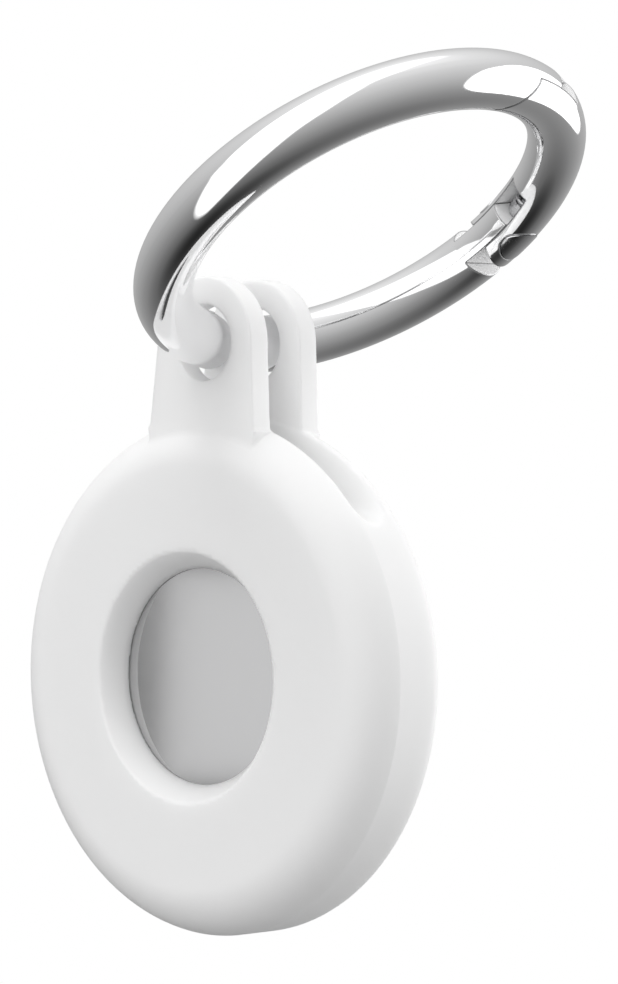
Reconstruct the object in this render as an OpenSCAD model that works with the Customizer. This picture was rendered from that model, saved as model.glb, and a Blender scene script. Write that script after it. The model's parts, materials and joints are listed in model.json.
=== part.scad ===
// Key holder for a coin-shaped tracker tag, hung on a round spring-gate ring.
// The frame's origin is where the ring hangs: the inner surface of the ring at its
// highest point, as photographed. +Z is up, and the window faces -Y.
// The sleeve and the tag are drawn about their own axis, with depth along Z.
// The ring is drawn flat about its middle, with its gate in the first quarter.

/* [Tag] */
// Diameter of the tracker tag
tag_d = 31.9; // [31:0.1:34]
// Thickness of the tracker tag
tag_t = 8.0; // [7.9:0.05:9]
// Wall of the tag's plastic shell
shell_wall = 1.2; // [1:0.05:1.25]
// Width of the plastic rim around the steel battery cover
cover_rim = 3.3; // [3.2:0.05:3.45]
// Reach of the battery cover past the edge of the coin cell
cell_rim = 2.65; // [2.6:0.05:3.6]
// Thickness of the coin cell
cell_t = 3.2; // [2.5:0.1:3.25]
// Turn that frees the battery cover, in degrees
cover_turn = 20; // [14:1:30]

/* [Sleeve] */
// Wall of the sleeve around the edge of the tag
side_wall = 3.45; // [2.8:0.05:5]
// Wall of the sleeve in front of the tag
front_wall = 2.0; // [1.2:0.05:2.4]
// Wall of the sleeve behind the tag
back_wall = 1.15; // [0.9:0.05:2.4]
// Clearance of the tag in its pocket
pocket_fit = 0.1; // [0.05:0.05:0.3]
// Diameter of the window at its lip
window_d = 16.2; // [10:0.1:20]
// Width of the round front edge of the sleeve
brow_w = 3.6; // [2.4:0.1:4.2]
// Depth of the round front edge of the sleeve
brow_h = 2.8; // [2:0.05:3.4]
// Radius of the back edge of the sleeve
heel_r = 1.2; // [0.8:0.1:1.8]
// Radius of the domed back of the sleeve
dome_r = 47; // [42:1:90]
// Width of the slot that the tag goes in through
slot_w = 3.1; // [2:0.1:3.6]
// Depth of the slot below the top of the sleeve
slot_depth = 7.3; // [5:0.1:9]

/* [Tabs] */
// Thickness of each tab
tab_t = 2.0; // [1.4:0.1:2.2]
// Radius of the round top of the tabs
tab_r = 5.0; // [4.4:0.1:7]
// Height of the hole in the tabs above the top of the sleeve
tab_neck = 5.55; // [4.2:0.05:9]
// Slope of the sides of the tabs, in degrees
tab_taper = 4.9; // [0:0.1:10]
// Radius of the fillets at the foot of the tabs
tab_fillet = 1.0; // [0.5:0.1:2]
// Clearance of the bent wire of the ring in the holes
hole_fit = 0.23; // [0.1:0.01:0.6]

/* [Ring] */
// Outer diameter of the ring
ring_outer_d = 35.7; // [33:0.1:40]
// Diameter of the wire of the ring
ring_wire_d = 4.3; // [4.2:0.05:4.5]
// Lean of the ring away from upright, in degrees
ring_lean = 53; // [20:1:90]

/* [Gate hinge] */
// Place of the hinge pin along the ring, in degrees
pin_turn = 2.5; // [0:0.5:8]
// Diameter of the shank of the hinge pin
pin_d = 1.5; // [1.2:0.05:1.6]
// Diameter of the flush heads of the hinge pin
pin_head_d = 3.0; // [2.6:0.05:3.2]
// Running clearance of the pin and of both tongues
gate_fit = 0.05; // [0.03:0.01:0.08]
// Thickness of the tongue that the gate turns on
knuckle_t = 2.0; // [1.6:0.05:2.1]
// Height of that tongue outside the pin
knuckle_rise = 1.25; // [1.1:0.05:1.3]
// Length of that tongue past the pin
knuckle_nose = 1.5; // [1.4:0.05:1.6]
// Radius of the rounded ends of the cheeks of the gate
cheek_r = 2.45; // [2.3:0.05:2.8]
// Free gap between the cheeks and the shoulder of the ring
shoulder_gap = 1.1; // [0.8:0.05:2]

/* [Gate latch] */
// Reach of the gate from its pin to its free end
gate_reach = 21.2; // [19:0.1:22]
// Gap at the free end of the gate
latch_gap = 0.1; // [0.06:0.01:0.3]
// Thickness of the latch tongue
latch_t = 1.8; // [1.4:0.05:2.2]
// Length of the latch tongue
latch_l = 2.3; // [1.6:0.05:5]
// Depth of the latch tongue below the outside of the ring
latch_h = 2.65; // [1.8:0.05:2.9]

/* [Gate spring] */
// Diameter of the plunger
plunger_d = 1.7; // [1.5:0.05:1.8]
// Length of the body of the plunger
plunger_l = 1.25; // [0.9:0.05:1.6]
// Diameter of the wire of the spring
spring_wire_d = 0.3; // [0.2:0.02:0.34]
// Mean diameter of the coils of the spring
spring_mean_d = 1.5; // [1.4:0.05:1.6]
// Coils in the spring
spring_coils = 4; // [3:1:5]
// Length of the open channel from the pin to its end wall
channel_l = 4.65; // [4.2:0.05:5.2]
// Depth of the bore that the spring stands in
spring_bore_l = 2.0; // [1.4:0.1:2.6]

/* [Hidden] */
$fn = 128;

// How far a cut runs past the face that it opens
overrun = 1;

// Outer form of the tag: a round front edge, a round back edge and a flat dome
tag_r = tag_d / 2;
tag_front_round = 2.6;
tag_back_round = 3.6;
// How far the plastic rim lies behind the steel face
rim_set_back = 0.3;
girth_z = rim_set_back + tag_front_round;
dome_h = tag_t - girth_z;
back_round_at = tag_r - tag_back_round;
tag_dome_r = (back_round_at ^ 2 + dome_h ^ 2 - tag_back_round ^ 2)
    / (2 * (dome_h - tag_back_round));

// Battery cover: a sheet, a skirt and three lugs under the lip of the frame
cover_r = tag_r - cover_rim;
cover_sheet = 0.4;
cover_edge_r = 0.2;
cover_gap = 0.05;
cover_side_gap = 0.1;
lip_w = 0.75;
lip_t = 0.55;
skirt_t = 0.4;
lug_count = 3;
lug_reach = 0.5;
lug_t = 0.5;
lug_angle = 18;
lug_play_angle = 1;
recess_r = cover_r + cover_side_gap;
lip_r = recess_r - lip_w;
skirt_r = lip_r - cover_side_gap;
lug_r = skirt_r + lug_reach;
groove_r = lug_r + cover_side_gap;
lip_z = cover_sheet + cover_gap;
shelf_z = lip_z + lip_t;
lug_z = shelf_z + cover_side_gap;
skirt_z = lug_z + lug_t;
channel_z = skirt_z + cover_side_gap;

// Inner frame: collar, flange, well of the cell and floor
collar_wall = 0.45;
frame_fit = 0.05;
flange_w = 0.8;
flange_t = 0.8;
flange_drop = 0.25;
cell_r = cover_r - cell_rim;
cell_fit = 0.2;
well_wall = 0.75;
cover_to_cell = 0.5;
leaf_space = 0.4;
floor_t = 0.5;
collar_r = recess_r + collar_wall;
mouth_r = collar_r + frame_fit;
flange_r = collar_r + flange_w;
flange_z = channel_z + flange_drop;
flange_back = flange_z + flange_t;
channel_r = skirt_r - skirt_t - cover_side_gap;
well_r = cell_r + cell_fit;
well_outer_r = well_r + well_wall;
cell_z = cover_sheet + cover_to_cell;
cell_back = cell_z + cell_t;
floor_z = cell_back + leaf_space;
frame_back = floor_z + floor_t;

// Seal of the cover, on the shelf between the well and the skirt
seal_w = 0.6;
seal_gap = 0.05;

// Coin cell: a can with a smaller cap on its back
cell_edge_r = 0.3;
cell_cap_t = 0.25;
cell_cap_inset = 1.1;

// Contact under the cell: a plate with two sprung arms
leaf_t = 0.12;
leaf_plate_r = 2.6;
leaf_arm_l = 7.5;
leaf_arm_w = 1.6;
leaf_rise_angle = 1.9;

// Contacts at the side of the cell: a strip, a foot and a bead in a window of the well
side_leaf_count = 2;
side_leaf_turn = 150;
side_leaf_t = 0.15;
side_leaf_w = 3.0;
side_leaf_gap = 0.3;
side_leaf_foot = 0.4;
side_leaf_top = 0.6;
side_strip_top = 1.2;
bead_r = 0.35;
bead_gap = 0.04;

// Loudspeaker: a magnet and pole plate on the floor, and a coil on the shell
magnet_share = 0.4;
magnet_r = magnet_share * cell_r;
magnet_t = 1.0;
pole_inset = 0.1;
pole_r = magnet_r - pole_inset;
pole_t = 0.3;
coil_gap = 0.35;
coil_w = 0.6;
coil_l = 1.2;
coil_seat = 0.02;

// Ring-shaped board around the coil, and what stands on its back
board_t = 0.5;
board_gap = 0.25;
board_bore_r = magnet_r + coil_gap + coil_w + board_gap;
board_inset = 0.05;
board_back = frame_back + board_t;
part_inset = 2.2;
part_ring_r = board_bore_r + part_inset;
part_gap = 0.07;
chip_l = 2.4;
chip_w = 1.8;
chip_step_angle = 37;
// Length and width of each chip, as shares of the largest, and its height's share
chip_shares = [[1, 1, 1], [0.6, 0.7, 0.8], [0.4, 0.4, 0.6], [0.85, 0.55, 1], [0.5, 0.5, 0.7],
    [0.35, 0.6, 0.6], [0.7, 1, 0.9]];
shield_l = 4.2;
shield_w = 3.0;
shield_corner_r = 0.4;
shield_angle = 295;
part_reach = norm([part_ring_r + shield_w / 2, shield_l / 2]);
part_t = tag_t - tag_dome_r + sqrt((tag_dome_r - shell_wall) ^ 2 - part_reach ^ 2)
    - board_back - part_gap;

// Antenna band on the back of the flange
antenna_w = 1.3;
antenna_t = 0.15;
antenna_gap_angle = 16;

// Sleeve: planes along its depth, with zero midway between the tabs
tag_lead = 2.35;
face_fit = 0.05;
sleeve_r = tag_r + pocket_fit + side_wall;
window_r = window_d / 2;
lip_y = tag_lead + face_fit;
front_y = lip_y + front_wall;
back_y = tag_t - tag_lead + pocket_fit + back_wall;
brow_r = (brow_w ^ 2 + brow_h ^ 2) / (2 * brow_h);
heel_at = sleeve_r - heel_r;
heel_y = back_y - dome_r + sqrt((dome_r - heel_r) ^ 2 - heel_at ^ 2);
brow_steps = 12;
heel_steps = 6;
dome_steps = 10;

// Tabs and their foot
tab_span = slot_w + 2 * tab_t;
hole_z = sleeve_r + tab_neck;
foot_z = sleeve_r - slot_depth + slot_w / 2;
foot_w = (tab_r + (hole_z - foot_z) * sin(tab_taper)) / cos(tab_taper);
fillet_line = tab_r + hole_z * sin(tab_taper) + tab_fillet;
fillet_rise = sqrt((sleeve_r + tab_fillet) ^ 2 - fillet_line ^ 2);
fillet_x = fillet_line * cos(tab_taper) - fillet_rise * sin(tab_taper);
fillet_z = fillet_line * sin(tab_taper) + fillet_rise * cos(tab_taper);
fillet_share = sleeve_r / (sleeve_r + tab_fillet);
// How far the fillets run into the faces that they join
fillet_bite = 0.02;

// Ring, and where it and the sleeve stand in the frame
wire_r = ring_wire_d / 2;
ring_r = ring_outer_d / 2 - wire_r;
ring_inner_r = ring_r - wire_r;
hole_r = ring_r - sqrt(ring_inner_r ^ 2 - (tab_span / 2) ^ 2) + hole_fit;
lean = [sin(ring_lean), 0, cos(ring_lean)];
ring_at = -ring_inner_r * lean;
hole_at = ring_at - ring_r * lean;
sleeve_at = [hole_at[0], hole_at[1], hole_at[2] - hole_z];

// Hinge of the gate, about its pin
pin_r = pin_d / 2;
pin_hole_r = pin_r + gate_fit;
head_r = pin_head_d / 2;
head_proud = 0.05;
cheek_seat = 0.4;
shank_bite = 0.25;
channel_w = knuckle_t + 2 * gate_fit;
head_seat_z = channel_w / 2 + cheek_seat;
channel_top = knuckle_rise + gate_fit;
shoulder_y = cheek_r + shoulder_gap;
knuckle_root = 0.5;
knuckle_nose_rise = 0.75;
// Turn of the plunger's line from the ring's tangent at the pin
plunger_turn = 11.3;
across = [cos(plunger_turn), sin(plunger_turn)];
along = [-sin(plunger_turn), cos(plunger_turn)];

// Latch at the free end of the gate
latch_face_r = gate_reach + latch_gap;
latch_end_r = latch_face_r - latch_l;
latch_play = 2.5;
latch_root = 0.5;
latch_floor_r = ring_outer_d / 2 - latch_h;
latch_slot_w = latch_t + 2 * gate_fit;

// Plunger and spring, along the plunger's line
nose_gap = 0.06;
nose_edge = 0.12;
stub_d = 0.9;
stub_l = 0.5;
spring_bore_fit = 0.1;
plunger_z = knuckle_nose + nose_gap;
spring_z = plunger_z + plunger_l;
spring_l = channel_l + spring_bore_l - spring_z;
spring_bore_r = (spring_mean_d + spring_wire_d) / 2 + spring_bore_fit;
coil_rings = 8;
wire_sides = 6;
turn_step = 360 / coil_rings;
ring_steps = coil_rings * spring_coils;
coil_climb = spring_l - 2 * spring_wire_d;

// Centre of the spring's wire: straight at both ends, and a helix between them
spring_angles = concat([0], [for (i = [0 : ring_steps]) i * turn_step],
    [ring_steps * turn_step]);
spring_heights = concat([0],
    [for (i = [0 : ring_steps]) spring_wire_d + coil_climb * i / ring_steps], [spring_l]);
spring_path = [for (i = [0 : len(spring_angles) - 1])
    [spring_mean_d / 2 * cos(spring_angles[i]), spring_mean_d / 2 * sin(spring_angles[i]),
        spring_heights[i]]];

// Least gap of the spring's wire to itself, over half a turn or more along it
spring_least_gap = min([for (i = [0 : len(spring_path) - 1])
    for (j = [i + coil_rings / 2 : 1 : len(spring_path) - 1])
        norm(spring_path[j] - spring_path[i])]) - spring_wire_d;
echo(spring_least_gap = spring_least_gap);

function unit(v) = v / norm(v);

// Direction of a path at one of its points
function heading(path, i) =
    unit(path[min(i + 1, len(path) - 1)] - path[max(i - 1, 0)]);

// One ring of points around the spring's wire
function wire_ring(i) =
    let (
        out = [cos(spring_angles[i]), sin(spring_angles[i]), 0],
        side = cross(heading(spring_path, i), out))
    [for (k = [0 : wire_sides - 1])
        spring_path[i] + spring_wire_d / 2
            * (cos(360 * k / wire_sides) * out + sin(360 * k / wire_sides) * side)];

// Triangles of a tube with n rings of m points
function tube_faces(n, m) = concat(
    [for (i = [0 : n - 2]) for (k = [0 : m - 1])
        [i * m + k, (i + 1) * m + (k + 1) % m, i * m + (k + 1) % m]],
    [for (i = [0 : n - 2]) for (k = [0 : m - 1])
        [i * m + k, (i + 1) * m + k, (i + 1) * m + (k + 1) % m]],
    [for (k = [1 : m - 2]) [0, k, k + 1]],
    [for (k = [1 : m - 2]) [(n - 1) * m, (n - 1) * m + k + 1, (n - 1) * m + k]]);

// Places the sleeve and the tag: their depth runs along +Y
module in_sleeve() {
    translate(sleeve_at) rotate([-90, 0, 0]) children();
}

module in_tag() {
    in_sleeve() translate([0, 0, -tag_lead]) children();
}

// Places the ring, and the pin and the plunger's line on it
module in_ring() {
    translate(ring_at) rotate([0, 90 + ring_lean, 0]) rotate([0, 0, 90]) children();
}

module at_pin() {
    rotate([0, 0, pin_turn]) translate([ring_r, 0, 0]) children();
}

module on_plunger_line() {
    at_pin() rotate([0, 0, plunger_turn]) rotate([-90, 0, 0]) children();
}

// A straight ring with a bore
module pipe(outer_r, inner_r, z, h) {
    translate([0, 0, z]) difference() {
        cylinder(r = outer_r, h = h);
        translate([0, 0, -overrun]) cylinder(r = inner_r, h = h + 2 * overrun);
    }
}

// A part of a turn of a straight ring, with its middle at an angle
module pipe_part(outer_r, inner_r, z, h, middle, angle) {
    rotate([0, 0, middle - angle / 2]) translate([0, 0, z])
        rotate_extrude(angle = angle) translate([inner_r, 0])
            square([outer_r - inner_r, h]);
}

// Half of the tag's outline, grown by g all round
module tag_half(g) {
    span = back_round_at * (tag_dome_r + g) / (tag_dome_r - tag_back_round);
    translate([0, rim_set_back - g])
        square([tag_r - tag_front_round, tag_front_round + g]);
    intersection() {
        translate([tag_r - tag_front_round, girth_z]) circle(r = tag_front_round + g);
        square([tag_r + g, girth_z]);
    }
    intersection() {
        translate([back_round_at, girth_z]) circle(r = tag_back_round + g);
        translate([0, girth_z]) square([tag_r + g, dome_h]);
    }
    intersection() {
        translate([0, tag_t - tag_dome_r]) circle(r = tag_dome_r + g);
        translate([0, girth_z]) square([span, dome_h + g]);
    }
}

// Points of an arc about a centre, from one angle to another
function arc(at, r, from, to, steps) =
    [for (i = [0 : steps]) at + r * [cos(from + (to - from) * i / steps),
        sin(from + (to - from) * i / steps)]];

// Half of the sleeve's outline: flat front, round brow, band, heel and domed back
module sleeve_half() {
    brow_turn = acos((brow_r - brow_h) / brow_r);
    heel_turn = acos(heel_at / (dome_r - heel_r));
    polygon(concat(
        [[0, -front_y]],
        arc([sleeve_r - brow_w, brow_r - front_y], brow_r, -90, brow_turn - 90, brow_steps),
        arc([heel_at, heel_y], heel_r, 0, heel_turn, heel_steps),
        arc([0, back_y - dome_r], dome_r, heel_turn, 90, dome_steps)));
}

// Side view of a tab, with its foot inside the sleeve
module tab_side() {
    translate([0, hole_z]) circle(r = tab_r);
    polygon([[-foot_w, foot_z], [foot_w, foot_z],
        [tab_r * cos(tab_taper), hole_z + tab_r * sin(tab_taper)],
        [-tab_r * cos(tab_taper), hole_z + tab_r * sin(tab_taper)]]);
    for (side = [-1, 1]) difference() {
        polygon([[side * (fillet_x - tab_fillet * cos(tab_taper)),
                fillet_z - tab_fillet * sin(tab_taper)],
            [side * fillet_x, fillet_z],
            [side * fillet_x * fillet_share, fillet_z * fillet_share],
            [side * fillet_x * fillet_share, foot_z],
            [0, foot_z]]);
        translate([side * fillet_x, fillet_z]) circle(r = tab_fillet + fillet_bite);
    }
}

module holder_sleeve() {
    color([0.95, 0.95, 0.95]) translate(sleeve_at) difference() {
        union() {
            rotate([-90, 0, 0]) rotate_extrude() sleeve_half();
            for (side = [-1, 1]) translate([0, side * (slot_w + tab_t) / 2, 0])
                rotate([90, 0, 0]) linear_extrude(tab_t, center = true) tab_side();
        }
        rotate([-90, 0, 0]) translate([0, 0, -tag_lead]) {
            rotate_extrude() tag_half(pocket_fit);
            translate([0, 0, -face_fit])
                cylinder(r = recess_r, h = face_fit + girth_z);
        }
        rotate([-90, 0, 0]) translate([0, 0, -lip_y]) rotate_extrude() difference() {
            translate([0, -front_wall - overrun])
                square([window_r + front_wall, front_wall + 2 * overrun]);
            translate([window_r + front_wall, 0]) circle(r = front_wall);
            translate([window_r, 0]) square([2 * front_wall, 2 * overrun]);
        }
        translate([-sleeve_r, -slot_w / 2, foot_z])
            cube([2 * sleeve_r, slot_w, hole_z + tab_r + overrun - foot_z]);
        translate([0, 0, foot_z]) rotate([0, 90, 0])
            cylinder(r = slot_w / 2, h = 2 * sleeve_r, center = true);
        translate([0, 0, hole_z]) rotate([90, 0, 0])
            cylinder(r = hole_r, h = tab_span + 2 * overrun, center = true);
    }
}

// The whole wire of the ring, at a radius of its own
module ring_wire(r) {
    rotate_extrude() translate([ring_r, 0]) circle(r = r);
}

// What the gate's swing takes out of the ring, flat faced at the shoulder
module gate_space(reach, start) {
    at_pin() intersection() {
        cylinder(r = reach, h = 2 * ring_wire_d, center = true);
        translate([-reach, start, -ring_wire_d])
            cube([2 * reach, reach - start, 2 * ring_wire_d]);
    }
}

// The tongue that the gate turns on, seen along the pin
module knuckle_side() {
    nose = knuckle_nose * along;
    polygon([[-ring_wire_d, -shoulder_y - knuckle_root],
        [knuckle_rise, -shoulder_y - knuckle_root],
        [knuckle_rise, 0],
        nose + knuckle_nose_rise * across,
        nose - ring_wire_d * across]);
}

module ring_body() {
    color([0.72, 0.72, 0.74]) in_ring() {
        difference() {
            ring_wire(wire_r);
            gate_space(latch_face_r, -shoulder_y);
        }
        intersection() {
            ring_wire(wire_r);
            difference() {
                at_pin() linear_extrude(knuckle_t, center = true) knuckle_side();
                at_pin() cylinder(r = pin_hole_r, h = ring_wire_d, center = true);
            }
        }
        intersection() {
            ring_wire(wire_r);
            difference() {
                at_pin() intersection() {
                    cylinder(r = latch_face_r + latch_root, h = latch_t, center = true);
                    translate([-2 * gate_reach, 0, -latch_t])
                        cube([4 * gate_reach, 2 * gate_reach, 2 * latch_t]);
                }
                cylinder(r = latch_floor_r, h = 2 * latch_t, center = true);
                at_pin() cylinder(r = latch_end_r, h = 2 * latch_t, center = true);
            }
        }
    }
}

// The channel of the gate, seen along the pin: open to the inside of the ring
module channel_side() {
    slope = tan(plunger_turn);
    wall_y = channel_l / cos(plunger_turn);
    polygon([[-ring_wire_d, -ring_wire_d],
        [channel_top, -ring_wire_d],
        [channel_top, wall_y + channel_top * slope],
        [-ring_wire_d, wall_y - ring_wire_d * slope]]);
}

module ring_gate() {
    color([0.66, 0.66, 0.69]) in_ring() difference() {
        intersection() {
            ring_wire(wire_r);
            union() {
                gate_space(gate_reach, 0);
                at_pin() cylinder(r = cheek_r, h = 2 * ring_wire_d, center = true);
            }
        }
        at_pin() {
            linear_extrude(channel_w, center = true) channel_side();
            cylinder(r = pin_hole_r, h = 2 * ring_wire_d, center = true);
            for (side = [0, 1]) mirror([0, 0, side])
                translate([0, 0, head_seat_z])
                    cylinder(r = head_r + gate_fit, h = ring_wire_d);
        }
        on_plunger_line() translate([0, 0, channel_l - overrun])
            cylinder(r = spring_bore_r, h = overrun + spring_bore_l);
        difference() {
            cylinder(r = ring_outer_d, h = latch_slot_w, center = true);
            cylinder(r = latch_floor_r - gate_fit, h = 2 * latch_slot_w, center = true);
            at_pin() cylinder(r = latch_end_r - latch_play, h = 2 * latch_slot_w,
                center = true);
        }
    }
}

module gate_hinge_pin() {
    color([0.8, 0.8, 0.82]) in_ring() {
        at_pin() cylinder(r = pin_r, h = 2 * (head_seat_z + shank_bite), center = true);
        intersection() {
            ring_wire(wire_r + head_proud);
            at_pin() for (side = [0, 1]) mirror([0, 0, side])
                translate([0, 0, head_seat_z]) cylinder(r = head_r, h = ring_wire_d);
        }
    }
}

module gate_plunger() {
    color([0.55, 0.55, 0.58]) in_ring() on_plunger_line() translate([0, 0, plunger_z]) {
        cylinder(r1 = plunger_d / 2 - nose_edge, r2 = plunger_d / 2, h = nose_edge);
        translate([0, 0, nose_edge])
            cylinder(r = plunger_d / 2, h = plunger_l - nose_edge);
        translate([0, 0, plunger_l / 2]) cylinder(r = stub_d / 2, h = plunger_l / 2 + stub_l);
    }
}

module gate_spring() {
    points = [for (i = [0 : len(spring_path) - 1]) for (p = wire_ring(i)) p];
    color([0.5, 0.5, 0.52]) in_ring() on_plunger_line() translate([0, 0, spring_z])
        polyhedron(points, tube_faces(len(spring_path), wire_sides));
}

module tag_shell() {
    color([0.97, 0.97, 0.96]) in_tag() difference() {
        rotate_extrude() tag_half(0);
        rotate_extrude() tag_half(-shell_wall);
        cylinder(r = mouth_r, h = girth_z);
    }
}

// A frame with a collar at the cover, a groove for its lugs and a well for the cell
module tag_inner_frame() {
    color([0.88, 0.88, 0.86]) in_tag() difference() {
        rotate_extrude() polygon([
            [well_r, shelf_z],
            [channel_r, shelf_z],
            [channel_r, channel_z],
            [lip_r, channel_z],
            [lip_r, lip_z],
            [recess_r, lip_z],
            [recess_r, rim_set_back],
            [collar_r, rim_set_back],
            [collar_r, flange_z],
            [flange_r, flange_z],
            [flange_r, flange_back],
            [well_outer_r, flange_back],
            [well_outer_r, frame_back],
            [0, frame_back],
            [0, floor_z],
            [well_r, floor_z]]);
        for (i = [0 : lug_count - 1]) {
            middle = i * 360 / lug_count;
            pipe_part(groove_r, lip_r - overrun / 2, shelf_z, channel_z - shelf_z,
                middle - cover_turn / 2, cover_turn + lug_angle + 2 * lug_play_angle);
            pipe_part(groove_r, lip_r - overrun / 2, 0, channel_z,
                middle - cover_turn, lug_angle + 2 * lug_play_angle);
        }
        side_leaves() translate([well_r - overrun, -side_leaf_w / 2 - side_leaf_gap,
                cell_z + side_leaf_top])
            cube([well_wall + 2 * overrun, side_leaf_w + 2 * side_leaf_gap,
                frame_back - cell_z - side_leaf_top + overrun]);
    }
}

module tag_battery_cover() {
    color([0.62, 0.62, 0.64]) in_tag() {
        rotate_extrude() {
            square([cover_r - cover_edge_r, cover_sheet]);
            translate([0, cover_edge_r]) square([cover_r, cover_sheet - cover_edge_r]);
            translate([cover_r - cover_edge_r, cover_edge_r]) circle(r = cover_edge_r);
        }
        pipe(skirt_r, skirt_r - skirt_t, cover_sheet / 2, skirt_z - cover_sheet / 2);
        for (i = [0 : lug_count - 1])
            pipe_part(lug_r, skirt_r - skirt_t / 2, lug_z, lug_t, i * 360 / lug_count,
                lug_angle);
    }
}

module cover_seal() {
    color([0.2, 0.2, 0.22]) in_tag()
        pipe(channel_r - frame_fit, channel_r - frame_fit - seal_w, lip_z - cover_gap
            + seal_gap, shelf_z - lip_z + cover_gap - seal_gap);
}

module coin_battery() {
    color([0.75, 0.75, 0.76]) in_tag() translate([0, 0, cell_z]) {
        rotate_extrude() {
            square([cell_r - cell_edge_r, cell_t - cell_cap_t]);
            translate([0, cell_edge_r])
                square([cell_r, cell_t - cell_cap_t - 2 * cell_edge_r]);
            for (z = [cell_edge_r, cell_t - cell_cap_t - cell_edge_r])
                translate([cell_r - cell_edge_r, z]) circle(r = cell_edge_r);
        }
        cylinder(r = cell_r - cell_cap_inset, h = cell_t);
    }
}

module battery_contact_negative() {
    color([0.85, 0.75, 0.45]) in_tag() translate([0, 0, floor_z]) {
        translate([0, 0, -leaf_t]) cylinder(r = leaf_plate_r, h = leaf_t);
        for (turn = [0, 180]) rotate([0, 0, turn]) translate([0, -leaf_arm_w / 2, -leaf_t])
            rotate([0, leaf_rise_angle, 0]) cube([leaf_arm_l, leaf_arm_w, leaf_t]);
    }
}

// Repeats a piece at the places of the contacts beside the cell
module side_leaves() {
    for (i = [0 : side_leaf_count - 1]) rotate([0, 0, i * side_leaf_turn]) children();
}

module battery_contacts_positive() {
    bead_x = cell_r + bead_gap + bead_r;
    color([0.85, 0.75, 0.45]) in_tag() side_leaves() {
        translate([bead_x, -side_leaf_w / 2, cell_z + side_strip_top])
            cube([side_leaf_t, side_leaf_w, frame_back - cell_z - side_strip_top]);
        translate([bead_x, -side_leaf_w / 2, frame_back - side_leaf_t])
            cube([side_leaf_foot, side_leaf_w, side_leaf_t]);
        translate([bead_x, 0, cell_z + cell_t / 2]) rotate([90, 0, 0])
            cylinder(r = bead_r, h = side_leaf_w, center = true);
    }
}

module circuit_board() {
    color([0.1, 0.3, 0.2]) in_tag()
        pipe(well_outer_r - board_inset, board_bore_r, frame_back, board_t);
}

module board_chips() {
    color([0.12, 0.12, 0.13]) in_tag() for (i = [0 : len(chip_shares) - 1]) {
        l = chip_l * chip_shares[i][0];
        w = chip_w * chip_shares[i][1];
        rotate([0, 0, i * chip_step_angle]) translate([part_ring_r - w / 2, -l / 2, board_back])
            cube([w, l, part_t * chip_shares[i][2]]);
    }
}

module radio_shield() {
    color([0.7, 0.7, 0.72]) in_tag() rotate([0, 0, shield_angle])
        translate([part_ring_r, 0, board_back]) linear_extrude(part_t) {
            square([shield_w - 2 * shield_corner_r, shield_l], center = true);
            square([shield_w, shield_l - 2 * shield_corner_r], center = true);
            for (x = [-1, 1]) for (y = [-1, 1])
                translate([x * (shield_w / 2 - shield_corner_r),
                    y * (shield_l / 2 - shield_corner_r)]) circle(r = shield_corner_r);
        }
}

module antenna_band() {
    color([0.8, 0.55, 0.35]) in_tag()
        pipe_part(flange_r - board_inset, flange_r - board_inset - antenna_w, flange_back,
            antenna_t, 180, 360 - antenna_gap_angle);
}

module speaker_magnet() {
    color([0.45, 0.45, 0.47]) in_tag()
        translate([0, 0, frame_back]) cylinder(r = magnet_r, h = magnet_t);
}

module speaker_pole_plate() {
    color([0.65, 0.65, 0.67]) in_tag()
        translate([0, 0, frame_back + magnet_t]) cylinder(r = pole_r, h = pole_t);
}

module speaker_coil() {
    inner_r = magnet_r + coil_gap;
    inside_r = tag_dome_r - shell_wall;
    drop = inside_r - sqrt(inside_r ^ 2 - (inner_r + coil_w) ^ 2);
    color([0.75, 0.45, 0.25]) in_tag()
        pipe(inner_r + coil_w, inner_r, tag_t - shell_wall - drop - coil_seat - coil_l, coil_l);
}

holder_sleeve();
ring_body();
ring_gate();
gate_hinge_pin();
gate_plunger();
gate_spring();
tag_shell();
tag_inner_frame();
tag_battery_cover();
cover_seal();
coin_battery();
battery_contact_negative();
battery_contacts_positive();
circuit_board();
board_chips();
radio_shield();
antenna_band();
speaker_magnet();
speaker_pole_plate();
speaker_coil();
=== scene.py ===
import json
import math

import bpy
import numpy as np
from mathutils import Matrix, Vector


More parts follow.
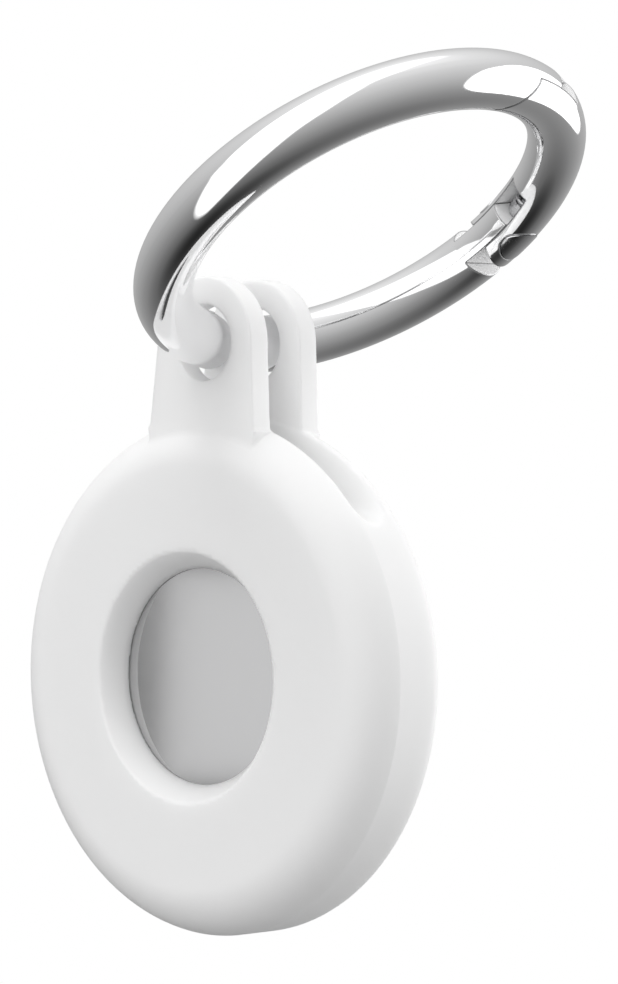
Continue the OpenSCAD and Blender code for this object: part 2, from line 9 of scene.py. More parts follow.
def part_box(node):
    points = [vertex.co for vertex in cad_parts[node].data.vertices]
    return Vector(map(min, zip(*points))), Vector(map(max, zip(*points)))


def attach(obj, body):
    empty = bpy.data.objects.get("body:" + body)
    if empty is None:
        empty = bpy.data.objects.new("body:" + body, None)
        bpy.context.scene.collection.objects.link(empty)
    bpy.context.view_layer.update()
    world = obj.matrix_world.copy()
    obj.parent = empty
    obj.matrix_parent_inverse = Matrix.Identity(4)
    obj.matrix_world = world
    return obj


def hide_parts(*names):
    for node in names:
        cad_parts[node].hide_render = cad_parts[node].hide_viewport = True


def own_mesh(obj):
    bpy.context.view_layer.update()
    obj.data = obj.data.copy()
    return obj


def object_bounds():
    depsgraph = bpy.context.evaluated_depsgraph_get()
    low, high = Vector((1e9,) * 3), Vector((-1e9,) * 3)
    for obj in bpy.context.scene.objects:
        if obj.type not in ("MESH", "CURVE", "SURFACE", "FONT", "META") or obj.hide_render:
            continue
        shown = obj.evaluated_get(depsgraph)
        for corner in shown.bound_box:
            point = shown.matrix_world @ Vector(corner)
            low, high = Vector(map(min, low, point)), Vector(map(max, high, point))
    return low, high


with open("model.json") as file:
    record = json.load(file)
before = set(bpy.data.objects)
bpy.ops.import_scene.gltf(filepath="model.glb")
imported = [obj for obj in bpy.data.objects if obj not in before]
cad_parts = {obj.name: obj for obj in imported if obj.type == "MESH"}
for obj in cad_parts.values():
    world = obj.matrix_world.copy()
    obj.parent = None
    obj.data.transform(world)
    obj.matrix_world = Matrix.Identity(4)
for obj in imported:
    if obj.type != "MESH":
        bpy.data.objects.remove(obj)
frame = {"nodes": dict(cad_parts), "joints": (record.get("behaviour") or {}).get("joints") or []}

mm = 0.001
nodes = frame["nodes"]
joints = {j["name"]: j for j in frame["joints"]}
cadBox = [list(v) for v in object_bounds()]
holderAt = Vector(joints["cover_turn"]["pos_m"])
pinAt = Vector(joints["gate_swing"]["pos_m"])
ringNormal = Vector(joints["gate_swing"]["axis"]).normalized()
print("frame loaded:", len(nodes), "nodes")

# camera, as fitted to the outlines of the sleeve and the ring. The focal length and the
# place of the sleeve's middle are in pixels of a picture of this width and height.
cameraView = {
    "azimuth": 44.12, "elevation": 1.47, "roll": 2.0, "distance": 257.5,
    "focalPx": 3399.7, "centreU": 225.4, "centreV": 675.3, "width": 618, "height": 984,
    "sensor": 36, "clipNear": 10, "clipFar": 20000,
}


def addObject(name, data):
    obj = bpy.data.objects.new(name, data)
    bpy.context.scene.collection.objects.link(obj)
    return obj


# axes of what faces the middle from an azimuth and an elevation, turned by a roll: the way
# back from the middle, to the right and up
def facingAxes(k):
    a, e, r = (math.radians(k[n]) for n in ("azimuth", "elevation", "roll"))
    away = Vector((math.sin(a) * math.cos(e), -math.cos(a) * math.cos(e), math.sin(e)))
    side = Vector((math.cos(a), math.sin(a), 0))
    up = away.cross(side)
    return away, side * math.cos(r) + up * math.sin(r), up * math.cos(r) - side * math.sin(r)


# a camera or lamp at a place, with its own axes turned to the side, up and away
def placeFacing(obj, place, away, side, up):
    turn = Matrix((side, up, away)).transposed().to_4x4()
    obj.matrix_world = Matrix.Translation(place) @ turn


# the camera stands aside of the line to the sleeve's middle by as much as puts it on its pixel
def placeCamera(k):
    away, side, up = facingAxes(k)
    dx = (k["centreU"] - k["width"] / 2) / k["focalPx"] * k["distance"]
    dy = -(k["centreV"] - k["height"] / 2) / k["focalPx"] * k["distance"]
    data = bpy.data.cameras.new("photoCamera")
    data.sensor_width = k["sensor"]
    data.lens = k["focalPx"] * k["sensor"] / k["height"]
    data.clip_start, data.clip_end = k["clipNear"] * mm, k["clipFar"] * mm
    cam = addObject("photoCamera", data)
    place = holderAt + mm * (away * k["distance"] - side * dx - up * dy)
    placeFacing(cam, place, away, side, up)
    bpy.context.scene.camera = cam


placeCamera(cameraView)
print("camera placed")


# polynomial smooth minimum: the lesser of two fields, with a fillet of about width k
def softMin(a, b, k):
    h = np.maximum(k - np.abs(a - b), 0)
    return np.minimum(a, b) - h * h / (4 * k)


def softMax(a, b, k):
    return -softMin(-a, -b, k)


# signed distance to a closed polygon in a plane, negative inside: the least distance
# to any edge, with the sign from an even or odd count of crossings
def polygonField(p, q, corners, tiny=1e-12):
    a = np.asarray(corners, float)
    b = np.roll(a, -1, 0)
    best = np.full(p.shape, np.inf)
    inside = np.zeros(p.shape, bool)
    for (ax, ay), (bx, by) in zip(a, b):
        ex, ey = bx - ax, by - ay
        if ex * ex + ey * ey < tiny:
            continue
        t = np.clip(((p - ax) * ex + (q - ay) * ey) / (ex * ex + ey * ey), 0, 1)
        best = np.minimum(best, (p - ax - t * ex) ** 2 + (q - ay - t * ey) ** 2)
        crosses = (ay > q) != (by > q)
        at = ax + (q - ay) * ex / (ey if ey else tiny)
        inside ^= crosses & (p < at)
    return np.where(inside, -1, 1) * np.sqrt(best)


# points of an arc about a centre, from one angle to another in degrees
def arcPoints(cx, cy, r, start, stop, steps):
    t = np.radians(np.linspace(start, stop, steps + 1))
    return list(zip(cx + r * np.cos(t), cy + r * np.sin(t)))


# a half outline and its mirror image, as one closed polygon
def mirrored(half):
    return half + [(-x, y) for x, y in reversed(half)]


# the silicone sleeve, in its own axes: x to the right, y along its depth, z up. Steps are
# those of its arcs, and a table's from and to are the corners of the plane that it covers.
# An axis of its grid is a list of places, each with the grid's pitch up to the next place.
sleeve = {
    "radius": 19.5, "front": -4.4, "browWidth": 3.6, "browHeight": 2.8, "heelRadius": 1.2,
    "domeRadius": 47.0, "back": 6.9, "creaseRadius": 0.22,
    "browSteps": 48, "heelSteps": 24, "domeSteps": 40,
    "windowRadius": 8.1, "windowFlare": 1.3, "flareFoot": -2.4,
    "slotWidth": 3.1, "slotFoot": 13.75, "slotSoft": 0.3, "pocketSoft": 0.12,
    "tabThick": 2.0, "tabRadius": 5.0, "tabTaper": 4.9, "tabEdge": 0.22, "tabFillet": 0.35,
    "footFillet": 0.2, "footShare": 0.8, "footDepth": 1, "filletSteps": 24, "topSteps": 48,
    "holeZ": 25.05, "holeRadius": 2.853,
    "bodyFrom": (-0.3, -6.5), "bodyTo": (21.5, 8.5), "tabFrom": (-10, 11), "tabTo": (10, 31.5),
    "gridX": [(-20.1, 0.34), (-7.4, 0.17), (-4.6, 0.28), (4.6, 0.17), (7.4, 0.34), (20.1, 0)],
    "gridY": [(-4.8, 0.18), (-3.9, 0.1), (-3.3, 0.22), (-2.6, 0.1), (-1.2, 0.4), (1.2, 0.1),
              (1.9, 0.3), (3.2, 0.1), (3.9, 0.27), (7.3, 0)],
    "gridZ": [(-20.1, 0.34), (12.0, 0.2), (20.6, 0.26), (30.5, 0)],
}


# half outline of the sleeve about its axis: flared window, flat front, round brow, band,
# heel and dome, drawn inside by the rounding of its crease, which the field gives back
def sleeveOutline(s):
    c = s["creaseRadius"]
    browR = (s["browWidth"] ** 2 + s["browHeight"] ** 2) / (2 * s["browHeight"])
    browTurn = math.degrees(math.asin((s["browWidth"] - c) / (browR - c)))
    browAt = s["radius"] - s["browWidth"]
    heelAt = s["radius"] - s["heelRadius"]
    domeAt = s["back"] - s["domeRadius"]
    heelTurn = math.degrees(math.acos(heelAt / (s["domeRadius"] - s["heelRadius"])))
    heelY = domeAt + math.sqrt((s["domeRadius"] - s["heelRadius"]) ** 2 - heelAt ** 2)
    bore = s["windowRadius"] + c
    out, back = s["windowFlare"], s["flareFoot"] - s["front"]
    slope = math.hypot(out, back)
    half = [(0, 0), (bore, 0), (bore, s["flareFoot"] + c * (slope - back) / out)]
    half += [(s["windowRadius"] + out + c * (slope - out) / back, s["front"] + c)]
    half += arcPoints(browAt, browR + s["front"], browR - c, -90, browTurn - 90, s["browSteps"])
    half += arcPoints(heelAt, heelY, s["heelRadius"] - c, 0, heelTurn, s["heelSteps"])
    half += arcPoints(0, domeAt, s["domeRadius"] - c, heelTurn, 90, s["domeSteps"])
    return mirrored(half)


# the pocket in the sleeve. The lip rests on the cover's face, with a hair of room for the
# cover to turn.
coverFace = (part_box("tag_battery_cover")[0][1] - holderAt.y) / mm
tagPocket = {
    "lipGap": 0.012, "recessRadius": 12.75, "rim": -2.15, "girth": 0.55, "frontAt": 13.35,
    "frontRadius": 2.7, "backAt": 12.35, "backRadius": 3.7, "backTurn": 76.15,
    "domeAt": -49.54, "domeRadius": 55.29, "steps": 20,
}


# the tag's own half outline grown by the fit of its pocket, with the cover's recess in front
def pocketOutline(k):
    lip = coverFace - k["lipGap"]
    half = [(0, lip), (k["recessRadius"], lip), (k["recessRadius"], k["rim"])]
    half += arcPoints(k["frontAt"], k["girth"], k["frontRadius"], -90, 0, k["steps"])
    half += arcPoints(k["backAt"], k["girth"], k["backRadius"], 0, k["backTurn"], k["steps"])
    half += arcPoints(0, k["domeAt"], k["domeRadius"], k["backTurn"], 90, k["steps"])
    return mirrored(half)


# face of a tab: straight sides that close in upwards to a round top, and at the foot an arc
# on each side that runs out along the sleeve's rim. The lowest corners lie in the sleeve.
def tabOutline(s):
    taper = math.radians(s["tabTaper"])
    sin, cos = math.sin(taper), math.cos(taper)
    reach = s["radius"] + s["tabFillet"]
    line = s["tabRadius"] + s["holeZ"] * sin + s["tabFillet"]
    rise = math.sqrt(reach ** 2 - line ** 2)
    cx, cz = line * cos - rise * sin, line * sin + rise * cos
    towardRim = math.degrees(math.atan2(-cz, -cx)) + 360
    half = [(cx * s["footShare"], s["slotFoot"] - s["footDepth"])]
    half += arcPoints(cx, cz, s["tabFillet"], towardRim, 180 + s["tabTaper"], s["filletSteps"])
    half += arcPoints(0, s["holeZ"], s["tabRadius"], s["tabTaper"], 90, s["topSteps"])
    return mirrored(half)


# a polygon's field, less what it is grown by, worked out once on a fine grid between two
# corners and read from there by bilinear interpolation
def tableField(corners, lo, hi, grown=0.0, step=0.03):
    u = np.arange(lo[0], hi[0] + step, step)
    w = np.arange(lo[1], hi[1] + step, step)
    table = polygonField(u[:, None] + 0 * w, w[None] + 0 * u[:, None], corners) - grown
    lastU, lastW = len(u) - 1.001, len(w) - 1.001    # just short of the last row

    def read(p, q):
        i = np.clip((p - lo[0]) / step, 0, lastU)
        j = np.clip((q - lo[1]) / step, 0, lastW)
        i0, j0 = i.astype(int), j.astype(int)
        f, g = i - i0, j - j0
        return ((1 - f) * (1 - g) * table[i0, j0] + f * (1 - g) * table[i0 + 1, j0]
                + (1 - f) * g * table[i0, j0 + 1] + f * g * table[i0 + 1, j0 + 1])
    return read


# the sleeve's field: its turned body and two flat tabs, joined by fillets, less the tag's
# pocket, the slot and the holes, each with a soft edge
def sleeveField(s):
    body = tableField(sleeveOutline(s), s["bodyFrom"], s["bodyTo"], s["creaseRadius"])
    tab = tableField(tabOutline(s), s["tabFrom"], s["tabTo"])
    pocket = tableField(pocketOutline(tagPocket), s["bodyFrom"], s["bodyTo"])
    halfSlot = s["slotWidth"] / 2
    tabMid = halfSlot + s["tabThick"] / 2

    def field(x, y, z):
        rho = np.hypot(x, z)
        plate = np.abs(np.abs(y) - tabMid) - s["tabThick"] / 2
        f = softMin(body(rho, y), softMax(tab(x, z), plate, s["tabEdge"]), s["footFillet"])
        f = softMax(f, -pocket(rho, y), s["pocketSoft"])
        foot = np.hypot(y, z - s["slotFoot"]) - halfSlot
        slot = np.where(z > s["slotFoot"], np.abs(y) - halfSlot, foot)
        f = softMax(f, -slot, s["slotSoft"])
        hole = np.hypot(x, z - s["holeZ"]) - s["holeRadius"]
        return softMax(f, -hole, s["tabEdge"])
    return field


# places along one axis of a grid: even steps from each stop to the next
def gridAxis(stops):
    parts = [np.linspace(a, b, max(int(round((b - a) / pitch)), 1), endpoint=False)
             for (a, pitch), (b, _) in zip(stops, stops[1:])]
    return np.concatenate(parts + [[stops[-1][0]]])


# value and unit gradient of a field at points, by central differences
def gradientOf(field, points, step=0.035):
    g = np.empty_like(points)
    for k in range(3):
        d = np.zeros(3)
        d[k] = step
        g[:, k] = field(*(points + d).T) - field(*(points - d).T)
    g /= np.maximum(np.linalg.norm(g, axis=1, keepdims=True), 1e-9)
    return field(*points.T), g


# closed surface where a field is zero. Each cell that the surface crosses gets one point,
# the mean of the crossings on its edges, moved along the gradient onto the surface in a few
# rounds, and each crossed edge of the grid gets a quad between its four cells.
def surfaceOf(field, axes, rounds=5, longest=0.1):
    grid = np.meshgrid(*axes, indexing="ij")
    value = field(*grid)
    inside = value < 0
    cells = tuple(n - 1 for n in value.shape)
    total = np.zeros(cells + (3,))
    count = np.zeros(cells)
    quads = []
    for axis in range(3):
        a = [slice(None)] * 3
        b = [slice(None)] * 3
        a[axis], b[axis] = slice(None, -1), slice(1, None)
        a, b = tuple(a), tuple(b)
        cross = inside[a] != inside[b]
        at = np.argwhere(cross)
        va, vb = value[a][cross], value[b][cross]
        point = np.stack([grid[k][a][cross] for k in range(3)], -1)
        point[:, axis] += (grid[axis][b][cross] - point[:, axis]) * va / (va - vb)
        u, w = (axis + 1) % 3, (axis + 2) % 3
        corners = []
        for du, dw in ((0, 0), (-1, 0), (-1, -1), (0, -1)):
            cell = at.copy()
            cell[:, u] += du
            cell[:, w] += dw
            np.add.at(total, tuple(cell.T), point)
            np.add.at(count, tuple(cell.T), 1)
            corners.append(np.ravel_multi_index(tuple(cell.T), cells))
        quad = np.stack(corners, -1)
        flip = ~inside[a][cross]
        quad[flip] = quad[flip][:, ::-1]
        quads.append(quad)
    used = np.flatnonzero(count.ravel())
    points = total.reshape(-1, 3)[used] / count.ravel()[used, None]
    number = np.full(count.size, -1)
    number[used] = np.arange(len(used))
    faces = number[np.concatenate(quads)]
    for _ in range(rounds):
        v, g = gradientOf(field, points)
        points = points - np.clip(v, -longest, longest)[:, None] * g
    return points, faces, gradientOf(field, points)[1]


def meshObject(name, points, faces, normals=None):
    mesh = bpy.data.meshes.new(name)
    mesh.vertices.add(len(points))
    mesh.vertices.foreach_set("co", np.asarray(points, np.float32).ravel())
    mesh.loops.add(faces.size)
    mesh.loops.foreach_set("vertex_index", faces.astype(np.int32).ravel())
    mesh.polygons.add(len(faces))
    starts = np.arange(0, faces.size, faces.shape[1], dtype=np.int32)
    mesh.polygons.foreach_set("loop_start", starts)
    mesh.polygons.foreach_set("use_smooth", np.ones(len(faces), bool))
    mesh.update(calc_edges=True)
    mesh.validate()
    if normals is not None:
        mesh.normals_split_custom_set_from_vertices(normals.tolist())
    return addObject(name, mesh)


def makeSleeve(s):
    axes = [gridAxis(s[k]) for k in ("gridX", "gridY", "gridZ")]
    points, faces, normals = surfaceOf(sleeveField(s), axes)
    return meshObject("siliconeSleeve", points * mm + np.array(holderAt), faces, normals)


siliconeSleeve = makeSleeve(sleeve)
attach(siliconeSleeve, "holder")
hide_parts("holder_sleeve")
print("sleeve:", len(siliconeSleeve.data.polygons), "quads")

# the coil spring behind the plunger: where it starts and ends along the plunger's line from
# the hinge pin, and how far the plunger can press it together
coil = {
    "start": 2.81, "end": 6.65, "meanRadius": 0.75, "wireRadius": 0.15, "turns": 4,
    "flatTurn": 0.25, "stepsPerTurn": 36, "stepsAround": 12, "travel": 0.8,
}


# a circle carried along a helix about the plunger's line; the helix lies flat for a part of
# a turn at both ends, and a fan of triangles about the wire's middle closes each end
def makeSpring(k):
    line = np.array(joints["plunger_slide"]["axis"])
    line = line / np.linalg.norm(line)
    side = np.array(Vector(line).orthogonal().normalized())
    turn = np.linspace(0, k["turns"], k["turns"] * k["stepsPerTurn"] + 1)
    share = np.clip((turn - k["flatTurn"]) / (k["turns"] - 2 * k["flatTurn"]), 0, 1)
    along = k["start"] + k["wireRadius"] + share * (k["end"] - k["start"] - 2 * k["wireRadius"])
    angle = 2 * np.pi * turn[:, None]
    out = side * np.cos(angle) + np.cross(line, side) * np.sin(angle)
    path = np.array(pinAt) + mm * (line * along[:, None] + out * k["meanRadius"])
    ahead = np.gradient(path, axis=0)
    up = np.cross(ahead / np.linalg.norm(ahead, axis=1, keepdims=True), out)
    around = np.linspace(0, 2 * np.pi, k["stepsAround"] + 1)[:-1, None]
    circle = out[:, None] * np.cos(around) + up[:, None] * np.sin(around)
    rings = path[:, None] + mm * k["wireRadius"] * circle
    count, last = k["stepsAround"], len(path) - 1
    i, j = np.arange(last)[:, None] * count, np.arange(count)[None]
    j2 = (j + 1) % count
    halves = [np.stack(c, -1).reshape(-1, 3) for c in
              ((i + j, i + j2, i + count + j2), (i + j, i + count + j2, i + count + j))]
    startMid, endMid = len(path) * count, len(path) * count + 1
    ends = [np.stack(c, -1).reshape(-1, 3) for c in
            ((0 * j + startMid, j2, j), (0 * j + endMid, last * count + j, last * count + j2))]
    points = np.concatenate([rings.reshape(-1, 3), path[[0, -1]]])
    spring = meshObject("plungerSpring", points, np.concatenate(halves + ends))
    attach(spring, "gate")
    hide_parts("gate_spring")
    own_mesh(spring)
    return spring


plungerSpring = makeSpring(coil)
print("spring:", len(plungerSpring.data.polygons), "triangles")

# the parts of a noise's range that a colour or a roughness runs over
softBand = (0.3, 0.7)
cloudBand = (0.35, 0.65)


# a material with its principled shader, its links and its object coordinates
def newMaterial(name):
    mat = bpy.data.materials.new(name)
    mat.use_nodes = True
    tree = mat.node_tree
    shader = tree.nodes["Principled BSDF"]
    where = tree.nodes.new("ShaderNodeTexCoord")
    return mat, tree, shader, where.outputs["Object"]


def addNoise(tree, where, scale, detail=3.0, rough=0.5, stretch=(1, 1, 1)):
    place = tree.nodes.new("ShaderNodeMapping")
    place.inputs["Scale"].default_value = stretch
    tree.links.new(where, place.inputs["Vector"])
    noise = tree.nodes.new("ShaderNodeTexNoise")
    noise.inputs["Scale"].default_value = scale
    noise.inputs["Detail"].default_value = detail
    noise.inputs["Roughness"].default_value = rough
    tree.links.new(place.outputs["Vector"], noise.inputs["Vector"])
    return noise.outputs["Fac"]


# a value that runs from low to high while another crosses a band
def mapRange(tree, value, low, high, band=softBand):
    node = tree.nodes.new("ShaderNodeMapRange")
    node.inputs["From Min"].default_value = band[0]
    node.inputs["From Max"].default_value = band[1]
    node.inputs["To Min"].default_value = low
    node.inputs["To Max"].default_value = high
    tree.links.new(value, node.inputs["Value"])
    return node.outputs["Result"]


def addRamp(tree, value, places, colours):
    ramp = tree.nodes.new("ShaderNodeValToRGB")
    keys = ramp.color_ramp.elements
    while len(keys) < len(places):
        keys.new(0.5)
    for key, at, colour in zip(keys, places, colours):
        key.position = at
        key.color = (*colour, 1)
    tree.links.new(value, ramp.inputs["Fac"])
    return ramp.outputs["Color"]


def addBump(tree, shader, height, depth, strength=1.0):
    bump = tree.nodes.new("ShaderNodeBump")
    bump.inputs["Strength"].default_value = strength
    bump.inputs["Distance"].default_value = depth * mm
    tree.links.new(height, bump.inputs["Height"])
    tree.links.new(bump.outputs["Normal"], shader.inputs["Normal"])


# a Math node on one or two values, each a socket or a number
def addMath(tree, operation, *values):
    node = tree.nodes.new("ShaderNodeMath")
    node.operation = operation
    for socket, value in zip(node.inputs, values):
        if isinstance(value, (int, float)):
            socket.default_value = value
        else:
            tree.links.new(value, socket)
    return node.outputs["Value"]


# a Vector Math node on a socket and another socket or a fixed vector
def addVector(tree, operation, where, other):
    node = tree.nodes.new("ShaderNodeVectorMath")
    node.operation = operation
    tree.links.new(where, node.inputs[0])
    if isinstance(other, (tuple, Vector)):
        node.inputs[1].default_value = other
    else:
        tree.links.new(other, node.inputs[1])
    return node.outputs["Value" if operation == "DOT_PRODUCT" else "Vector"]


def addDot(tree, where, direction):
    return addVector(tree, "DOT_PRODUCT", where, direction)


# a colour that gives way to a fixed one by a share; the sockets are the colour ones of Mix
def addMix(tree, share, a, b):
    mix = tree.nodes.new("ShaderNodeMix")
    mix.data_type = "RGBA"
    tree.links.new(share, mix.inputs[0])
    tree.links.new(a, mix.inputs[6])
    mix.inputs[7].default_value = (*b, 1)
    return mix.outputs[2]


# silicone: off-white with faint clouds, satin, a little light let in, fine mould grain
siliconeLook = {
    "light": (0.965, 0.965, 0.967), "shade": (0.95, 0.95, 0.952), "cloud": 90,
    "satin": 700, "roughLow": 0.42, "roughHigh": 0.52, "ior": 1.41,
    "grain": 9000, "grainDepth": 0.004, "grainStrength": 0.5,
    "letIn": 0.8, "depth": 1.6, "depthByColour": (1.0, 1.0, 1.0),
}


def siliconeMaterial(k):
    mat, tree, shader, where = newMaterial("silicone_white")
    cloud = addNoise(tree, where, k["cloud"], detail=4)
    satin = addNoise(tree, where, k["satin"])
    grain = addNoise(tree, where, k["grain"], detail=2)
    colour = addRamp(tree, cloud, cloudBand, (k["shade"], k["light"]))
    roughness = mapRange(tree, satin, k["roughLow"], k["roughHigh"])
    tree.links.new(colour, shader.inputs["Base Color"])
    tree.links.new(roughness, shader.inputs["Roughness"])
    shader.inputs["IOR"].default_value = k["ior"]
    shader.inputs["Subsurface Weight"].default_value = k["letIn"]
    shader.inputs["Subsurface Radius"].default_value = k["depthByColour"]
    shader.inputs["Subsurface Scale"].default_value = k["depth"] * mm
    addBump(tree, shader, grain, k["grainDepth"], k["grainStrength"])
    return mat


# metal: a mean colour with a faint mottle that also sets its roughness, drawn out into
# streaks by a stretch, and in relief where it has a depth
def metalMaterial(name, colour, roughLow, roughHigh, scale, mottle=0.04, stretch=(1, 1, 1),
                  depth=0.0):
    mat, tree, shader, where = newMaterial(name)
    darker = tuple(c * (1 - mottle) for c in colour)
    field = addNoise(tree, where, scale, detail=4, rough=0.6, stretch=stretch)
    tree.links.new(addRamp(tree, field, softBand, (darker, colour)), shader.inputs["Base Color"])
    tree.links.new(mapRange(tree, field, roughLow, roughHigh), shader.inputs["Roughness"])
    shader.inputs["Metallic"].default_value = 1.0
    if depth:
        addBump(tree, shader, field, depth)
    return mat


# plastic or rubber: a mean colour with faint clouds, and a fine grain in relief
def plasticMaterial(name, colour, roughLow, roughHigh, grain=4000, depth=0.005, mottle=0.05,
                    cloud=250, strength=0.6):
    mat, tree, shader, where = newMaterial(name)
    darker = tuple(c * (1 - mottle) for c in colour)
    field = addNoise(tree, where, cloud)
    tree.links.new(addRamp(tree, field, cloudBand, (darker, colour)), shader.inputs["Base Color"])
    tree.links.new(mapRange(tree, field, roughLow, roughHigh), shader.inputs["Roughness"])
    addBump(tree, shader, addNoise(tree, where, grain, detail=2), depth, strength)
    return mat


def dress(obj, mat):
    if not obj.data.materials:
        obj.data.materials.append(mat)
    for i in range(len(obj.data.materials)):
        obj.data.materials[i] = mat


dress(siliconeSleeve, siliconeMaterial(siliconeLook))
dress(plungerSpring, metalMaterial("spring_steel", (0.55, 0.55, 0.56), 0.2, 0.3, 3000))

# chrome: polished on the ring's round surface, satin on the faces cut into it, which lie
# nearer to the wire's centre line than its radius, with the edges between them eased. Both
# get painted shade in their colour by how much of the space within reach of them is closed
# off, as in a narrow gap, and a painted dark line along the very edge, where the eased normal
# turns far from the face's own: a painted reflection of the dark a polished edge shows. Pairs
# are bands: of depth under the round surface, of openness, and of the two normals' product.
ringLook = {
    "centre": (-10.8215, 0, -8.1546), "ringRadius": 15.7, "wireRadius": 2.15,
    "polished": (0.985, 0.985, 0.99), "roughLow": 0.03, "roughHigh": 0.06, "mottle": 900,
    "cut": (0.97, 0.97, 0.972), "cutDepth": (0.1, 0.05), "cutMetal": 0.05, "cutRough": 0.35,
    # the dark tone of the painted shade, and the reach and open band of its painted gap shade
    "paintedShadeTone": (0.05, 0.05, 0.055), "paintedShadeReach": 0.3, "paintedShadeOpen": (0.05, 0.35),
    "edgeRadius": 0.22, "edgeTurn": (0.88, 0.98), "paintedEdgeShade": 0.75, "samples": 8,
}


# the depth is that of a torus: the distance to its centre circle is the root of the sum of
# the squares of the height over its plane and of the distance from the axis less the radius
def ringMaterial(k):
    mat, tree, shader, where = newMaterial("ring_chrome")
    fromCentre = addVector(tree, "SUBTRACT", where, Vector(k["centre"]) * mm)
    along = addDot(tree, fromCentre, ringNormal)
    alongSquare = addMath(tree, "MULTIPLY", along, along)
    square = addDot(tree, fromCentre, fromCentre)
    across = addMath(tree, "SQRT", addMath(tree, "SUBTRACT", square, alongSquare))
    off = addMath(tree, "SUBTRACT", across, k["ringRadius"] * mm)
    offSquare = addMath(tree, "MULTIPLY", off, off)
    deep = addMath(tree, "SQRT", addMath(tree, "ADD", offSquare, alongSquare))
    cut = mapRange(tree, deep, 1, 0, [(k["wireRadius"] - d) * mm for d in k["cutDepth"]])
    # painted shade: the colour goes dark where little of the space within reach is open, as in a
    # narrow gap
    openness = tree.nodes.new("ShaderNodeAmbientOcclusion")
    openness.samples = k["samples"]
    openness.inputs["Distance"].default_value = k["paintedShadeReach"] * mm
    closed = mapRange(tree, openness.outputs["AO"], 1, 0, k["paintedShadeOpen"])
    edge = tree.nodes.new("ShaderNodeBevel")
    edge.samples = k["samples"]
    edge.inputs["Radius"].default_value = k["edgeRadius"] * mm
    tree.links.new(edge.outputs["Normal"], shader.inputs["Normal"])
    own = tree.nodes.new("ShaderNodeNewGeometry").outputs["Normal"]
    turned = addDot(tree, edge.outputs["Normal"], own)
    # painted dark line along the edges, a painted reflection: darker where the eased normal turns
    # from the face's own
    paintedEdgeLine = mapRange(tree, turned, k["paintedEdgeShade"], 0, k["edgeTurn"])
    # share of painted shade, from narrow gaps or from the painted edge line, that darkens the base
    # colour
    paintedShadeShare = addMath(tree, "MAXIMUM", closed, paintedEdgeLine)
    plain = addRamp(tree, cut, (0, 1), (k["polished"], k["cut"]))
    tree.links.new(addMix(tree, paintedShadeShare, plain, k["paintedShadeTone"]), shader.inputs["Base Color"])
    tree.links.new(mapRange(tree, cut, 1, k["cutMetal"], (0, 1)), shader.inputs["Metallic"])
    fine = mapRange(tree, addNoise(tree, where, k["mottle"]), k["roughLow"], k["roughHigh"])
    coarse = mapRange(tree, cut, 0, k["cutRough"], (0, 1))
    tree.links.new(addMath(tree, "ADD", fine, coarse), shader.inputs["Roughness"])
    return mat


# finishes of the carried-over parts: colour, least and most roughness, and for a metal the
# scale of its mottle
chrome = ringMaterial(ringLook)
finishes = {
    "ring_body": chrome,
    "ring_gate": chrome,
    "gate_hinge_pin": metalMaterial("pin_chrome", (0.86, 0.86, 0.87), 0.1, 0.18, 1500),
    "gate_plunger": metalMaterial("plunger_steel", (0.62, 0.62, 0.63), 0.2, 0.35, 2500),
    "tag_shell": plasticMaterial("shell_white", (0.9, 0.9, 0.89), 0.15, 0.22, 2500, 0.002),
    "tag_inner_frame": plasticMaterial("frame_white", (0.82, 0.82, 0.8), 0.4, 0.5),
    "tag_battery_cover": metalMaterial(
        "cover_steel", (0.48, 0.48, 0.483), 0.062, 0.072, 600, mottle=0.02),
    "cover_seal": plasticMaterial("seal_black", (0.03, 0.03, 0.03), 0.55, 0.7),
    "coin_battery": metalMaterial("cell_steel", (0.72, 0.72, 0.73), 0.25, 0.35, 900),
    "battery_contact_negative": metalMaterial("contact_gold", (0.83, 0.68, 0.38), 0.2, 0.3, 1500),
    "battery_contacts_positive": metalMaterial(
        "contact_gold_side", (0.83, 0.68, 0.38), 0.2, 0.3, 1500),
    "circuit_board": plasticMaterial("board_green", (0.03, 0.16, 0.09), 0.3, 0.4),
    "board_chips": plasticMaterial("chip_black", (0.03, 0.03, 0.033), 0.45, 0.6),
    "radio_shield": metalMaterial("shield_tin", (0.72, 0.72, 0.73), 0.3, 0.4, 1200),
    "antenna_band": metalMaterial("antenna_copper", (0.83, 0.5, 0.33), 0.25, 0.4, 1500),
    "speaker_magnet": metalMaterial("magnet_nickel", (0.5, 0.5, 0.5), 0.3, 0.45, 1500),
    "speaker_pole_plate": metalMaterial("pole_steel", (0.6, 0.6, 0.61), 0.25, 0.35, 1200),
    "speaker_coil": metalMaterial(
        "coil_copper", (0.72, 0.36, 0.2), 0.3, 0.4, 6000, stretch=(1, 12, 1), depth=0.01),
}
for name, mat in finishes.items():
    dress(nodes[name], mat)
print("pieces dressed:", len(finishes) + 2)

# a round pale floor under the object, seen by the camera alone
floorLook = {
    "drop": 120, "radius": 600, "rings": 12, "around": 96, "firstRing": 0.02,
    "shade": (0.8, 0.8, 0.8), "light": (0.86, 0.86, 0.86), "cloud": 3, "rough": 0.8,
}


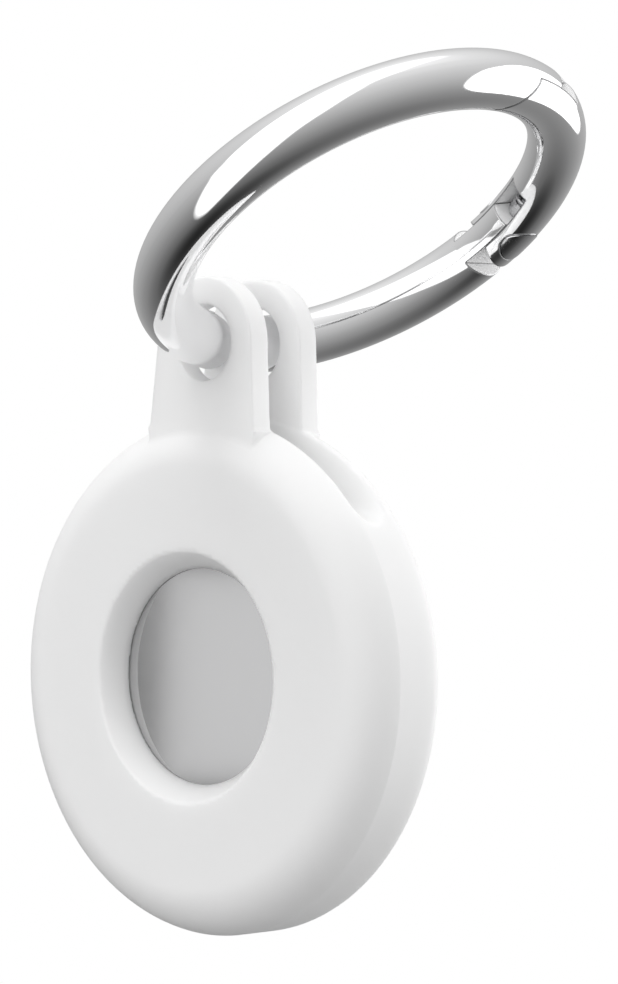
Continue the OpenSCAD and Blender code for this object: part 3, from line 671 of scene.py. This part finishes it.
# rings of points about the object's middle, at evenly spaced radii, on one level
def makeFloor(k):
    lowest = cadBox[0][2] - k["drop"] * mm
    t = np.linspace(0, 2 * np.pi, k["around"] + 1)[:-1]
    rings = np.linspace(k["firstRing"], 1, k["rings"])[:, None] * k["radius"] * mm
    middle = (np.array(cadBox[0]) + np.array(cadBox[1])) / 2
    x = middle[0] + rings * np.cos(t)
    y = middle[1] + rings * np.sin(t)
    points = np.stack([x, y, np.full_like(x, lowest)], -1).reshape(-1, 3)
    i = np.arange(k["rings"] - 1)[:, None] * k["around"]
    j = np.arange(k["around"])[None]
    j2 = (j + 1) % k["around"]
    further = i + k["around"]
    quads = np.stack([i + j, further + j, further + j2, i + j2], -1).reshape(-1, 4)
    floor = meshObject("paleFloor", points, quads)
    mat, tree, shader, where = newMaterial("floor_pale")
    colour = addRamp(tree, addNoise(tree, where, k["cloud"]), softBand, (k["shade"], k["light"]))
    tree.links.new(colour, shader.inputs["Base Color"])
    shader.inputs["Roughness"].default_value = k["rough"]
    dress(floor, mat)
    floor.visible_glossy = False
    floor.visible_diffuse = False
    floor.visible_shadow = False


# lights and surroundings. Azimuth 0 is in front of the sleeve's window, 90 at its right. The
# tones of the grey stand at heights from -1, below, to 1, above. A panel is a white oval with
# its half sizes as seen from the object.
studio = {
    "tones": [(-1.0, 0.02), (-0.87, 0.135), (-0.64, 0.245), (0.0, 0.465), (0.64, 0.68),
              (0.87, 0.83), (1.0, 1.05)],
    "panels": [
        {"azimuth": 4.2, "elevation": 25.5, "roll": 1.3, "halfWidth": 32.8, "halfHeight": 87,
         "fullness": 1.5, "white": 1.36},
        {"azimuth": 149.7, "elevation": 0.5, "roll": 0, "halfWidth": 35.9, "halfHeight": 34.9,
         "fullness": 2.15, "white": 2.3},
    ],
    "edge": 0.05, "strength": 0.92,
}
coverCard = {
    "azimuth": -45.2, "elevation": -4.6, "roll": 0, "distance": 600, "aside": 10.5,
    "width": 50, "height": 53, "energy": 0.0064,
}
lampAbove = {
    "azimuth": -30, "elevation": 75, "roll": 0, "distance": 600, "aside": 0,
    "width": 300, "height": 300, "energy": 0.72,
}


# how much of a panel lies in a direction: the powers of the two angles from its middle,
# each a share of the panel's half size, add up to less than one inside its oval
def panelShare(tree, where, k, edge):
    ahead, aside, above = (addDot(tree, where, v) for v in facingAxes(k))
    turns = [(addMath(tree, "ARCSINE", aside), k["halfWidth"]),
             (addMath(tree, "ARCTAN2", above, ahead), k["halfHeight"])]
    parts = []
    for turn, half in turns:
        share = addMath(tree, "DIVIDE", addMath(tree, "ABSOLUTE", turn), math.radians(half))
        parts.append(addMath(tree, "POWER", share, k["fullness"]))
    return mapRange(tree, addMath(tree, "ADD", *parts), 1, 0, (1 - edge, 1 + edge))


# surroundings: white where the camera looks, and for light and reflections a grey that
# lightens from nadir to zenith, with the white panels over it
def makeWorld(k):
    world = bpy.data.worlds.new("studioWorld")
    bpy.context.scene.world = world
    world.use_nodes = True
    tree = world.node_tree
    ground = tree.nodes["Background"]
    where = tree.nodes.new("ShaderNodeTexCoord").outputs["Generated"]
    height = mapRange(tree, addDot(tree, where, (0, 0, 1)), 0, 1, (-1, 1))
    places = [(z + 1) / 2 for z, v in k["tones"]]
    tone = addRamp(tree, height, places, [(v, v, v) for z, v in k["tones"]])
    for panel in k["panels"]:
        tone = addMix(tree, panelShare(tree, where, panel, k["edge"]), tone, (panel["white"],) * 3)
    path = tree.nodes.new("ShaderNodeLightPath")
    seen = (1 / k["strength"],) * 3
    tree.links.new(addMix(tree, path.outputs["Is Camera Ray"], tone, seen), ground.inputs["Color"])
    ground.inputs["Strength"].default_value = k["strength"]


# a lamp of two sizes at a distance, aimed at the sleeve and unseen by the camera
def makeLamp(name, k, shape):
    data = bpy.data.lights.new(name, "AREA")
    data.shape = shape
    data.size = k["width"] * mm
    data.size_y = k["height"] * mm
    data.energy = k["energy"]
    lamp = addObject(name, data)
    away, side, up = facingAxes(k)
    place = holderAt + (away * k["distance"] + side * k["aside"]) * mm
    placeFacing(lamp, place, away, side, up)
    lamp.visible_camera = False
    return lamp


makeFloor(floorLook)
makeWorld(studio)
makeLamp("lampAbove", lampAbove, "DISK").visible_glossy = False

# the card that the polished cover mirrors lights nothing else
card = makeLamp("coverCard", coverCard, "RECTANGLE")
litByCard = bpy.data.collections.new("litByCard")
litByCard.objects.link(nodes["tag_battery_cover"])
card.light_linking.receiver_collection = litByCard
bpy.context.scene.view_settings.view_transform = "Standard"
print("studio made")
